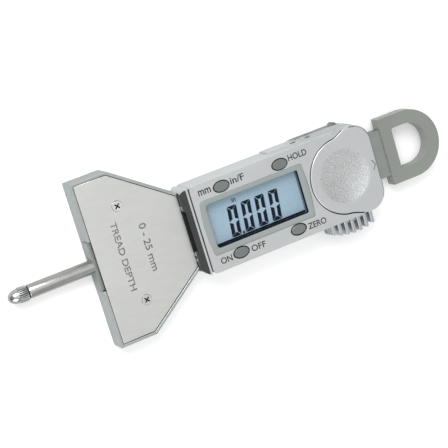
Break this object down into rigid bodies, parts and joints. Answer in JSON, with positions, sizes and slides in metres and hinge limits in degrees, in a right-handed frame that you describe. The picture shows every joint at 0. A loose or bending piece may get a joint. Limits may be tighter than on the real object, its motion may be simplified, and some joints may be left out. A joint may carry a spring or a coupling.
{
  "type": "tire tread gauge",
  "caption": "Digital tire tread depth gauge: flat angled base, sliding probe and scale beam with pull ring, display module with keys, sliding battery cover and thumb rest.",
  "frame": {"origin": "under the middle of the gauge's overall box, on the plane of its back; the measuring face is the plane x = -0.0496 m", "axes": "+X from the contact tip to the pull ring, +Y across the measuring face, +Z out of the display"},
  "size_m": [0.1564, 0.0546, 0.013],
  "materials": {
    "satin_silver": "satin metallic silver",
    "base_metal": "satin",
    "brushed_plate": "fine brushed",
    "screw_steel": "bright plated",
    "pin_steel": "ground",
    "frame_dark": "charcoal satin",
    "bezel_grey": "satin grey-green",
    "clear_window": "clear",
    "black_rubber": "matte",
    "lcd_glass": "pale blue display",
    "board_green": "solder mask",
    "contact_brass": "plated",
    "button_grey": "satin grey",
    "cell_steel": "plated steel",
    "port_black": "matte",
    "strip_steel": "satin",
    "gib_brass": "ground",
    "beam_steel": "satin ground",
    "scale_laminate": "laminate",
    "rod_steel": "polished ground steel",
    "tip_steel": "polished",
    "ring_grey": "satin grey"
  },
  "bodies": {
    "gauge_body": {"front_cover": "satin_silver", "thumb_rest": "satin_silver", "base_body": "base_metal", "base_plate": "brushed_plate", "back_cover": "brushed_plate", "base_plate_screws": "screw_steel", "back_cover_screws": "screw_steel", "circuit_board_screws": "screw_steel", "gib_screws": "screw_steel", "base_dowels": "pin_steel", "travel_stop_pin": "pin_steel", "module_frame": "frame_dark", "lcd_bezel": "bezel_grey", "lcd_window": "clear_window", "lcd_gasket": "black_rubber", "lcd_connectors": "black_rubber", "lcd_panel": "lcd_glass", "circuit_board": "board_green", "button_domes": "contact_brass", "battery_contact_plus": "contact_brass", "battery_contact_minus": "contact_brass", "data_contacts": "contact_brass", "battery": "cell_steel", "data_port": "port_black", "gib_strip": "gib_brass"},
    "probe_slide": {"scale_beam": "beam_steel", "scale_strip": "scale_laminate", "probe_rod": "rod_steel", "contact_tip": "tip_steel", "ring_handle": "ring_grey", "ring_pins": "pin_steel"},
    "button_unit": {"button_unit": "button_grey"},
    "button_hold": {"button_hold": "button_grey"},
    "button_power": {"button_power": "button_grey"},
    "button_zero": {"button_zero": "button_grey"},
    "battery_cover": {"battery_cover": "satin_silver"},
    "port_cover": {"port_cover": "strip_steel"}
  },
  "joints": [
    {"name": "probe_slide", "type": "slide", "parent": "gauge_body", "child": "probe_slide", "axis": [1, 0, 0], "range_m": [0, 0.0286]},
    {"name": "button_unit_press", "type": "slide", "parent": "gauge_body", "child": "button_unit", "axis": [0, 0, -1], "range_m": [0, 0.0005], "stiffness_N_per_m": 1200, "springref_m": -0.0002},
    {"name": "button_hold_press", "type": "slide", "parent": "gauge_body", "child": "button_hold", "axis": [0, 0, -1], "range_m": [0, 0.0005], "stiffness_N_per_m": 1200, "springref_m": -0.0002},
    {"name": "button_power_press", "type": "slide", "parent": "gauge_body", "child": "button_power", "axis": [0, 0, -1], "range_m": [0, 0.0005], "stiffness_N_per_m": 1200, "springref_m": -0.0002},
    {"name": "button_zero_press", "type": "slide", "parent": "gauge_body", "child": "button_zero", "axis": [0, 0, -1], "range_m": [0, 0.0005], "stiffness_N_per_m": 1200, "springref_m": -0.0002},
    {"name": "battery_cover_slide", "type": "slide", "parent": "gauge_body", "child": "battery_cover", "axis": [1, 0, 0], "range_m": [0, 0.01]},
    {"name": "port_cover_slide", "type": "slide", "parent": "gauge_body", "child": "port_cover", "axis": [-1, 0, 0], "range_m": [0, 0.0052]}
  ]
}
